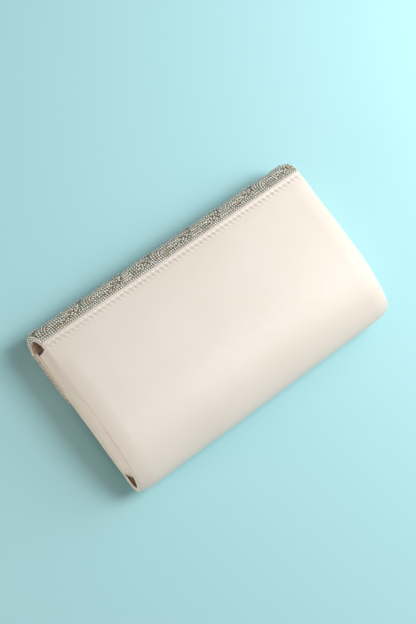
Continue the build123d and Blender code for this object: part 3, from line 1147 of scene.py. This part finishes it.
@dataclass
class BeadLayout:
    """Where beads are sewn over the spine and the flap: two straight rows, then rows of scales.

    A place is (u, v): u along the width, v from the top seam over the spine and down the flap. A scale is
    half of an uneven oval, steep at its start and spread at its end, and each row lies over the next one. The
    first row's widths are in millimetres for a bag 250 mm wide and stretch with it. Relief is how far the
    scales stand out of the valleys between them, and margins keep beads away from the edges.
    """

    widths: tuple[float, ...] = (42, 39, 26, 40, 28, 33, 42)
    height: float = 15.5 * MM
    first: float = 4.2 * MM
    rise_step: float = 10.5 * MM
    row_pitch: float = 2.15 * MM
    steep: float = 0.34
    spread: float = 1.22
    spine_relief: float = 3.4 * MM
    flap_relief: float = 0.95 * MM
    bead: float = 0.92 * MM
    corner_radius: float = 65 * MM
    edge_radius: float = 280 * MM
    level: float = 0.35
    level_run: float = 6 * MM
    sunk: float = 0.05 * MM
    spine_sunk: float = 0.65 * MM
    rim_lift: float = 0.9 * MM
    crease_ease: tuple[float, float] = (14 * MM, 4 * MM)
    straight_rows: tuple[float, float] = (0.95 * MM, 2.9 * MM)
    side_margin: float = 2.3 * MM
    rim_inset: float = 0.85 * MM
    rim_drop: float = 1.75 * MM
    fill_pitch: float = 1.9 * MM
    fill_step: float = 0.95 * MM
    fill_margin: float = 2.4 * MM
    bare: float = 1.4 * MM

    def __post_init__(self) -> None:
        """Reads the spine's and the flap's places from the frame."""
        low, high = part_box("spine_beadwork")
        self.half = high.x
        self.depth = high.z - low.z
        rise = high.y - low.y
        self.radius = ((self.depth / 2) ** 2 + rise**2) / (2 * rise)
        self.centre = np.array([high.y - self.radius, (high.z + low.z) / 2])
        self.opening = math.asin(self.depth / 2 / self.radius)
        self.spine_run = 2 * self.opening * self.radius
        flap_low, flap_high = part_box("flap_beadwork")
        self.tip_y, self.crease_y = flap_low.y, flap_high.y
        self.run = self.spine_run + self.crease_y - self.tip_y
        shares = np.concatenate([[0], np.cumsum(self.widths)]) / sum(self.widths)
        self.joints = shares * 2 * self.half - self.half
        self.rows = int(math.ceil((self.run - self.first) / self.rise_step)) + 1

    def scale_row(self, row: int) -> list[tuple[float, float, float]]:
        """Start, run-up and run-out of each scale in a row; odd rows stand between the even ones."""
        joints = self.joints
        if row % 2:
            middle = (joints[1:] + joints[:-1]) / 2
            before, after = middle[0] - self.widths[0] * MM, middle[-1] + self.widths[-1] * MM
            joints = np.concatenate([[before], middle, [after]])
        return [(a + self.steep * (b - a), self.steep * (b - a), self.spread * (b - a))
                for a, b in zip(joints, joints[1:])]

    def share(self, u: np.ndarray, v: np.ndarray, row: int, scale: tuple[float, float, float]) -> np.ndarray:
        """How far a place is from a scale's root, as a share of the scale's size."""
        base = self.first + row * self.rise_step
        across = u - scale[0]
        return np.hypot(across / np.where(across < 0, scale[1], scale[2]), (v - base) / self.height)

    def above(self, row: int, number: int) -> list[tuple[int, tuple[float, float, float]]]:
        """The scales that lie over one scale: those of earlier rows and the next in its own row."""
        earlier = [(k, scale) for k in range(max(0, row - 2), row) for scale in self.scale_row(k)]
        return earlier + [(row, scale) for scale in self.scale_row(row)[number + 1:number + 3]]

    def relief(self, u: np.ndarray, v: np.ndarray) -> np.ndarray:
        """How puffed the beadwork is at each place, from 0 in the valleys to 1."""
        puffed = np.full(u.shape, -1.0)
        for row in range(self.rows):
            for scale in reversed(self.scale_row(row)):
                rho = self.share(u, v, row, scale)
                inside = (rho < 1) & (puffed < 0) & (v >= self.first)
                puffed[inside] = np.sqrt(np.maximum(0, 1 - rho[inside] ** 5))
        puffed[v < self.first] = self.level
        ramp = self.level + (1 - self.level) * smooth(v, self.first - 1 * MM, self.first + self.level_run)
        return np.clip(puffed, 0, ramp)

    def half_width(self, v: np.ndarray) -> np.ndarray:
        """Half width of the beadwork at each distance from the seam."""
        y = self.crease_y - np.maximum(v - self.spine_run, 0)
        edge_y = self.tip_y + self.edge_radius
        corner_x = self.half - self.corner_radius
        corner_y = edge_y - math.sqrt((self.edge_radius - self.corner_radius) ** 2 - corner_x**2)
        turn = math.atan2(edge_y - corner_y, corner_x)
        corner_end = edge_y - self.edge_radius * math.sin(turn)
        corner = corner_x + np.sqrt(np.maximum(self.corner_radius**2 - (y - corner_y) ** 2, 0))
        edge = np.sqrt(np.maximum(self.edge_radius**2 - (edge_y - y) ** 2, 0))
        return np.where(y >= corner_y, self.half, np.where(y >= corner_end, corner, edge))

    def place(self, u: np.ndarray, v: np.ndarray, out: np.ndarray | float) -> np.ndarray:
        """Places in space.

        Args:
            u, v: places on the beadwork.
            out: distance out from the layer's outer face.

        Returns:
            Points along a new last axis.
        """
        turn = self.opening - np.minimum(v, self.spine_run) / self.radius
        reach = self.radius + out
        y = self.centre[0] + reach * np.cos(turn)
        z = self.centre[1] + reach * np.sin(turn)
        on_flap = v > self.spine_run
        y = np.where(on_flap, self.crease_y - (v - self.spine_run), y)
        z = np.where(on_flap, -np.asarray(out) + np.zeros_like(v), z)
        return np.stack([u + np.zeros_like(v), y, z], axis=-1)

    def on_spine(self, v: np.ndarray) -> np.ndarray:
        """1 over the spine, easing to 0 towards the front crease."""
        start, end = self.crease_ease
        return 1 - smooth(v, self.spine_run - start, self.spine_run - end)

    def rise(self, u: np.ndarray, v: np.ndarray) -> np.ndarray:
        """Distance of a bead's middle out from the layer's outer face."""
        spine = self.on_spine(v)
        height = self.flap_relief + (self.spine_relief - self.flap_relief) * spine
        top = -self.bead - self.sunk + (self.spine_relief - self.spine_sunk) * spine
        return top - height * (1 - self.relief(u, v))

    def rim_rise(self, v: np.ndarray) -> np.ndarray:
        """Distance of an edge bead's middle out from the layer's outer face."""
        return -self.bead - self.sunk + self.rim_lift * self.on_spine(v)

    def lines(self) -> list[tuple[np.ndarray, np.ndarray, float]]:
        """Sewing lines as (u, v, shade), before they are split between pieces."""
        made = []
        u = np.arange(-self.half + 1.5 * MM, self.half - 1.4 * MM, 1 * MM)
        for v in self.straight_rows:
            made.append((u, np.full_like(u, v), 0.15))
        for row in range(self.rows):
            base = self.first + row * self.rise_step
            for number, scale in enumerate(self.scale_row(row)):
                for k in range(int(0.97 * self.height / self.row_pitch)):
                    share = 1 - (k + 0.4) * self.row_pitch / self.height
                    turn = np.linspace(math.pi, -0.35 if row % 2 else 0, int(110 * share) + 24)
                    reach = np.where(np.cos(turn) < 0, scale[1], scale[2])
                    u = scale[0] + reach * share * np.cos(turn)
                    v = base + self.height * share * np.sin(turn)
                    # Every fourth row is dark; the others take turns between two light shades.
                    shade = 0.85 if k % 4 == 3 else 0.1 + 0.12 * (k % 2)
                    made.extend(self._shown(u, v, row, number, shade))
                # Two short rows close the scale's root.
                for rise in (0.6 * MM, 2.4 * MM):
                    u = np.linspace(scale[0] - 0.1 * scale[1], scale[0] + 0.32 * scale[2], 24)
                    v = np.full_like(u, base + rise) + 0.15 * (u - scale[0])
                    made.extend(self._shown(u, v, row, number, 0.4))
        return made + self.filling(made)

    def filling(self, made: Sequence[tuple]) -> list[tuple[np.ndarray, np.ndarray, float]]:
        """Short rows in the bare places that the sewing lines leave.

        Args:
            made: the sewing lines as (u, v, shade).

        Returns:
            More lines of the same kind.
        """
        sewn = np.concatenate([np.stack(line[:2], axis=1) for line in made])
        near = KDTree(len(sewn))
        for k, (u, v) in enumerate(sewn):
            near.insert((u, v, 0.0), k)
        near.balance()
        rows = []
        margin = self.fill_margin
        for v in np.arange(self.first + 0.5 * MM, self.run - 3 * MM, self.fill_pitch):
            u = np.arange(-self.half + margin, self.half - margin, self.fill_step)
            inside = np.abs(u) < self.half_width(np.full_like(u, v)) - margin
            bare = inside & np.array([near.find((x, v, 0.0))[2] > self.bare for x in u])
            for part in np.split(np.arange(len(u)), np.flatnonzero(np.diff(bare.astype(int))) + 1):
                if len(part) > 1 and bare[part[0]]:
                    rows.append((u[part], np.full(len(part), v), 0.3))
        return rows

    def _shown(self, u: np.ndarray, v: np.ndarray, row: int, number: int, shade: float) -> list[tuple]:
        """The stretches of a line that no scale above covers and that stay inside the outline."""
        keep = (v > self.first - 0.4 * MM) & (v < self.run)
        keep &= np.abs(u) < self.half_width(v) - self.side_margin
        for level, scale in self.above(row, number):
            keep &= self.share(u, v, level, scale) > 1.03
        parts, start = [], None
        for k, good in enumerate(np.append(keep, False)):
            if good and start is None:
                start = k
            elif not good and start is not None:
                if k - start > 2:
                    parts.append((u[start:k], v[start:k], shade))
                start = None
        return parts

    def edge_stations(self, first: float, margin: float) -> np.ndarray:
        """Distances from the seam that follow the outline closely, down to a margin above the tip."""
        last = self.run - margin
        calm = np.arange(first, last - 30 * MM, 0.8 * MM)
        return np.concatenate([calm, last - 30 * MM * np.linspace(1, 0, 90) ** 2])

    def rim(self) -> list[tuple[np.ndarray, np.ndarray, float, float]]:
        """Edge rows down both sides and round the flap's lower edge, two deep, as (u, v, shade, depth)."""
        margin = self.rim_inset
        v = self.edge_stations(1 * MM, margin)
        side = self.half_width(v + margin * (v > self.run - 6 * MM)) - margin
        rows = ((0.05, 0.0), (0.4, self.rim_drop))
        return [(sign * side, v, shade, down) for sign in (-1, 1) for shade, down in rows]


@dataclass
class Beadwork:
    """Beads sewn over the spine and the flap, on their padded ground cloth."""

    layout: BeadLayout
    finishes: Finishes
    spacing: float = 1.9 * MM
    ground_inset: float = 1.0 * MM
    ground_sunk: float = 0.45 * MM
    ground_lowest: float = 0.9 * MM
    ground_base: float = 2.45 * MM

    def split(self, lines: Sequence[tuple], low: float, high: float) -> tuple[list[np.ndarray], list[float]]:
        """Lines in space between two distances from the seam.

        Args:
            lines: sewing lines as (u, v, shade).
            low, high: the distances.

        Returns:
            (lines in space, their shades).
        """
        chains, shades = [], []
        for u, v, shade, *down in lines:
            level = self.layout.rim_rise(v) - down[0] if down else self.layout.rise(u, v)
            inside = (v >= low) & (v < high)
            breaks = np.flatnonzero(np.diff(inside.astype(int))) + 1
            for part in np.split(np.arange(len(u)), breaks):
                if len(part) > 1 and inside[part[0]]:
                    chains.append(self.layout.place(u[part], v[part], level[part]))
                    shades.append(shade)
        return chains, shades

    def beads(self, name: str, low: float, high: float, body: Body, seed: int) -> bpy.types.Object:
        """Sews beads between two distances from the seam."""
        lines = self.layout.lines() + self.layout.rim()
        chains, shades = self.split(lines, low, high)
        size = self.layout.bead
        sewing = Scatter(spacing=self.spacing, size=(size, size, size), jitter=0.09, seed=seed)
        piece = sewing.along(name, chains, shades, self.finishes["beads"])
        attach(piece, body.value)
        return piece

    def ground(self, name: str, low: float, high: float, node: str, body: Body) -> bpy.types.Object:
        """Builds the padded ground cloth under the beads, between two distances from the seam."""
        v = np.linspace(low, high, max(30, int((high - low) / (1.3 * MM))))
        share = np.linspace(-1, 1, 241)
        grid_s, grid_v = np.meshgrid(share, v)
        grid_u = grid_s * (self.layout.half_width(grid_v) - self.ground_inset)
        out = self.layout.rise(grid_u, grid_v) - self.ground_sunk
        points = self.layout.place(grid_u, grid_v, out)
        points[..., 2] = np.maximum(points[..., 2], self.ground_lowest)
        below = self.layout.place(grid_u, grid_v, -self.ground_base)
        uv = np.stack([grid_u, grid_v], axis=2)
        piece = closed_sheet(name, points, 0.0, self.finishes["ground_cloth"], uv=uv, inner=below)
        outward(piece)
        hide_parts(node)
        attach(piece, body.value)
        return piece

    def build(self) -> list[bpy.types.Object]:
        """Builds the beads and their ground on the spine and the flap."""
        crease, end = self.layout.spine_run, self.layout.run
        half = crease + (end - crease) * 0.42
        made = [
            self.ground("spine_bead_ground", 0.1 * MM, crease - 0.1 * MM, "spine_ground_cloth", Body.SPINE),
            self.ground("flap_bead_ground", crease + 0.1 * MM, end - 0.4 * MM, "flap_ground_cloth",
                        Body.FLAP),
            self.beads("spine_beads", 0.0, crease, Body.SPINE, 5),
            self.beads("flap_beads_upper", crease, half, Body.FLAP, 7),
            self.beads("flap_beads_lower", half, end, Body.FLAP, 9),
        ]
        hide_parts("spine_beadwork")
        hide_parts("flap_beadwork")
        return made


@dataclass
class FlapLinings:
    """Linings of the spine and the flap, and the soft strips that join them over the two creases."""

    layout: BeadLayout
    finishes: Finishes
    inset: float = 3.75 * MM
    thick: float = 0.4 * MM
    side_inset: float = 1.2 * MM
    spine_slack: float = 0.15 * MM
    turned_down: float = 0.9 * MM
    slack: float = 0.12 * MM
    strip_thick: float = 0.35 * MM
    binding_half: float = 0.55 * MM
    binding_deep: float = 0.62 * MM
    spine_binding_inset: float = 1.0 * MM
    spine_binding_depth: float = 3.55 * MM
    flap_binding_inset: float = 1.4 * MM
    flap_binding_depth: float = 3.85 * MM

    def spine(self) -> bpy.types.Object:
        """Builds the spine's lining as a slightly slack sheet."""
        run = self.layout.spine_run
        v = np.linspace(2.0 * MM, run - 2.0 * MM, 40)
        u = np.linspace(-1, 1, 121) * (self.layout.half - 1.5 * MM)
        grid_u, grid_v = np.meshgrid(u, v)
        depth = self.inset + self.spine_slack * (1 + ripple(grid_u, grid_v, 25 * MM, 51)) + self.thick
        grid = self.layout.place(grid_u, grid_v, -depth)
        piece = closed_sheet("spine_lining_cloth", grid, self.thick, self.finishes["lining_cloth"],
                             uv=np.stack([grid_u, grid_v], axis=2))
        outward(piece)
        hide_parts("spine_lining")
        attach(piece, Body.SPINE.value)
        return piece

    def flap(self) -> bpy.types.Object:
        """Builds the flap's lining, turned down round its edge to the ground cloth."""
        crease, end = self.layout.spine_run, self.layout.run
        v = np.linspace(crease + 0.4 * MM, end - 0.9 * MM, 80)
        share = np.concatenate([[-1, -0.9985], np.linspace(-0.993, 0.993, 131), [0.9985, 1]])
        grid_s, grid_v = np.meshgrid(share, v)
        grid_u = grid_s * (self.layout.half_width(grid_v) - self.side_inset)
        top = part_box("flap_lining")[1].z
        edge = 1 - np.abs(grid_s)
        z = top + self.slack * ripple(grid_u, grid_v, 30 * MM, 61) - self.slack
        z = z - self.turned_down * (edge < 0.0016) - self.turned_down * (edge < 0.0001)
        grid = np.stack([grid_u, self.layout.crease_y - (grid_v - crease), z], axis=2)
        piece = closed_sheet("flap_lining_cloth", grid, self.thick, self.finishes["satin_edge"],
                             uv=np.stack([grid_u, grid_v], axis=2))
        outward(piece)
        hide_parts("flap_lining")
        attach(piece, Body.FLAP.value)
        area = float((2 * self.layout.half_width(v) * np.gradient(v)).sum())
        return piece

    def binding(self, name: str, line: np.ndarray, deep: np.ndarray, body: Body) -> bpy.types.Object:
        """Builds the narrow satin binding that covers the layers' edges.

        Args:
            name: the piece's name.
            line: its centre points.
            deep: the direction through the layers, one per point.
            body: the body it rides on.

        Returns:
            The binding.
        """
        along = np.gradient(line, axis=0)
        along /= np.linalg.norm(along, axis=1, keepdims=True)
        across = np.cross(along, deep)
        across /= np.linalg.norm(across, axis=1, keepdims=True)
        across, deep = across * self.binding_half, deep * self.binding_deep
        piece = tube(name, line, across, deep, self.finishes["satin_edge"])
        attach(piece, body.value)
        return piece

    def bindings(self) -> list[bpy.types.Object]:
        """Builds the bindings at both ends of the spine and round the flap."""
        lay, made = self.layout, []
        v = np.linspace(1.2 * MM, lay.spine_run - 1.2 * MM, 60)
        for side in Side:
            u = np.full_like(v, side.value * (lay.half - self.spine_binding_inset))
            line = lay.place(u, v, -self.spine_binding_depth)
            deep = (lay.place(u, v, 0.0) - lay.place(u, v, -1.0 * MM)) / MM
            made.append(self.binding(f"{side.name.lower()}_spine_binding", line, deep, Body.SPINE))
        margin = self.flap_binding_inset
        v = lay.edge_stations(lay.spine_run + 0.8 * MM, margin)
        v = v[v > lay.spine_run]
        half = lay.half_width(v + margin * (v > lay.run - 8 * MM)) - margin
        v = np.concatenate([v, v[-2::-1]])
        u = np.concatenate([-half, half[-2::-1]])
        line = lay.place(u, v, -self.flap_binding_depth)
        deep = np.tile([0.0, 0.0, 1.0], (len(v), 1))
        made.append(self.binding("flap_binding", line, deep, Body.FLAP))
        return made

    def joint(self, name: str, section: Sequence[tuple[float, float]]) -> bpy.types.Object:
        """Builds a strip of lining that bridges a crease between two bodies.

        Args:
            name: the piece's name.
            section: (y, z) places across the crease; the first and last stretch lie flat on the linings.

        Returns:
            The strip.
        """
        line = np.array(section)
        steps = float(np.linalg.norm(np.diff(line, axis=0), axis=1).sum())
        rows, columns = 15, 61
        across = resample(line, np.linspace(0, steps, rows))
        u = np.linspace(-1, 1, columns) * (self.layout.half - self.side_inset)
        grid = np.concatenate([np.broadcast_to(u[None, :, None], (rows, columns, 1)),
                               np.broadcast_to(across[:, None, :], (rows, columns, 2))], axis=2)
        piece = closed_sheet(name, grid, self.strip_thick, self.finishes["lining_cloth"], uv=grid[..., :2])
        outward(piece)
        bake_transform(piece)
        return piece

    def build(self) -> list[bpy.types.Object]:
        """Builds the linings and both crease strips."""
        seam_y, seam_z = self.layout.crease_y, self.layout.depth
        inner = self.layout.radius - self.inset - 2 * self.thick - 0.3 * MM

        def spine_at(drop: float) -> tuple[float, float]:
            """A place just inside the spine's lining, at a height from its middle."""
            return (float(self.layout.centre[0]) + math.sqrt(inner**2 - drop**2), seam_z / 2 + drop)

        flap_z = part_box("flap_lining")[1].z
        # Each strip lies flat on one lining, turns over the crease and ends on the other lining.
        top = [(seam_y - 7 * MM, seam_z - 2.9 * MM), (seam_y - 2.5 * MM, seam_z - 3.85 * MM),
               (seam_y + 0.1 * MM, seam_z - 4.6 * MM), spine_at(seam_z / 2 - 6.6 * MM),
               spine_at(seam_z / 2 - 10 * MM)]
        low = [spine_at(10 * MM - seam_z / 2), spine_at(6.6 * MM - seam_z / 2),
               (seam_y + 0.1 * MM, flap_z + 0.9 * MM), (seam_y - 2.5 * MM, flap_z + 0.2 * MM),
               (seam_y - 7 * MM, flap_z + 0.2 * MM)]
        return [self.spine(), self.flap(), *self.bindings(),
                self.joint("top_seam_strip", top),
                self.joint("crease_strip", low)]


@dataclass
class HardParts:
    """Boards, stiffeners and the snap keep their own solids and get their finishes."""

    finishes: Finishes
    slots: dict[str, str] = field(default_factory=lambda: {
        "bottom_stiffener": "board", "spine_stiffener": "board",
        "flap_board": "board", "socket_cap": "snap_metal", "socket_plate": "snap_metal",
        "socket_washer": "snap_metal", "snap_stud": "snap_metal", "stud_washer": "snap_metal",
        "socket_magnet": "magnet"})

    def dress(self) -> list[bpy.types.Object]:
        """Gives each carried-over solid its finish."""
        made = []
        for node, slot in self.slots.items():
            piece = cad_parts[node]
            for place in piece.material_slots:
                place.material = self.finishes[slot]
            made.append(piece)
        return made


# ---------------------------------------------------------------- studio

@dataclass(frozen=True)
class Lamp:
    """A square area light aimed at the bag: its place and side in metres and its power in watts."""

    name: str
    place: tuple[float, float, float]
    size: float
    power: float
    colour: Colour = (1.0, 1.0, 1.0)


@dataclass
class Studio:
    """Pale floor, soft lights and the camera."""

    aim: tuple[float, float, float] = (1.4 * MM, 10.4 * MM, 18 * MM)
    distance: float = 1.325
    azimuth: float = -80.8
    elevation: float = 67.9
    roll: float = 45.1
    lens: float = 101.5
    floor_colour: Colour = (0.424, 0.710, 0.743)
    floor_reach: float = 4.0
    surround: Colour = (0.86, 0.93, 0.95)
    surround_strength: float = 0.27
    lamps: tuple[Lamp, ...] = (
        Lamp("key", (0.60, -0.15, 0.34), 0.4, 1.6),
        Lamp("side_key", (0.62, 0.14, 0.34), 0.4, 0.8),
        Lamp("high_right", (0.68, -0.22, 1.15), 0.7, 12.5),
        Lamp("reflector", (-1.0, 0.02, 0.15), 0.6, 4.7, (1.0, 0.84, 0.72)),
    )

    def camera(self) -> None:
        """Sets the camera by its angles about the aim."""
        a, e = math.radians(self.azimuth), math.radians(self.elevation)
        back = Vector((math.sin(a) * math.cos(e), -math.cos(a) * math.cos(e), math.sin(e)))
        data = bpy.data.cameras.new("camera")
        data.lens, data.sensor_width = self.lens, 36.0
        data.clip_start, data.clip_end = 0.05, 20.0
        camera = bpy.data.objects.new("camera", data)
        level = back.to_track_quat("Z", "Y").to_matrix().to_4x4()
        turned = level @ Matrix.Rotation(math.radians(self.roll), 4, "Z")
        camera.matrix_world = Matrix.Translation(Vector(self.aim) + back * self.distance) @ turned
        bpy.context.scene.collection.objects.link(camera)
        bpy.context.scene.camera = camera

    def light(self, lamp: Lamp) -> None:
        """Adds one of the lamps, turned to the aim."""
        data = bpy.data.lights.new(lamp.name, "AREA")
        data.size, data.energy, data.color = lamp.size, lamp.power, lamp.colour
        holder = bpy.data.objects.new(lamp.name, data)
        holder.location = lamp.place
        direction = Vector(self.aim) - Vector(lamp.place)
        holder.rotation_mode = "QUATERNION"
        holder.rotation_quaternion = direction.to_track_quat("-Z", "Y")
        bpy.context.scene.collection.objects.link(holder)

    def floor(self) -> None:
        """Adds the floor, a wide plain sheet."""
        material = bpy.data.materials.new("floor_card")
        material.use_nodes = True
        surface = material.node_tree.nodes["Principled BSDF"]
        surface.inputs["Base Color"].default_value = (*self.floor_colour, 1)
        surface.inputs["Roughness"].default_value = 0.9
        surface.inputs["Specular IOR Level"].default_value = 0.15
        reach = self.floor_reach
        corners = np.array([(-reach, -reach, 0), (reach, -reach, 0), (reach, reach, 0), (-reach, reach, 0)])
        new_piece("floor", corners - [0, 0, 0.02 * MM], [(0, 1, 2, 3)], material)

    def world(self) -> None:
        """Sets a pale even surround."""
        world = bpy.context.scene.world or bpy.data.worlds.new("surround")
        bpy.context.scene.world = world
        world.use_nodes = True
        sky = world.node_tree.nodes["Background"]
        sky.inputs["Color"].default_value = (*self.surround, 1)
        sky.inputs["Strength"].default_value = self.surround_strength

    def build(self) -> None:
        """Builds the whole studio."""
        self.camera()
        self.floor()
        self.world()
        for lamp in self.lamps:
            self.light(lamp)
        bpy.context.scene.view_settings.view_transform = "Standard"


def report(pieces: Iterable[bpy.types.Object]) -> None:
    """Logs each piece with its size in points."""
    for piece in pieces:
        log.info("%s: %d points", piece.name, len(piece.data.vertices))


def main() -> None:
    """Builds the bag's looks in order."""
    logging.basicConfig(level=logging.INFO, format="%(name)s %(message)s")
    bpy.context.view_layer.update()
    finishes = Finishes()
    profile = ShellProfile()
    layout = BeadLayout()
    satin = SatinCover(profile, finishes)
    for part in (satin, EdgePipings(profile, finishes, satin), Gussets(profile, finishes),
                 Lining(profile, finishes), Beadwork(layout, finishes), FlapLinings(layout, finishes)):
        report(part.build())
    report(HardParts(finishes).dress())
    Studio().build()


if __name__ == "__main__":
    main()
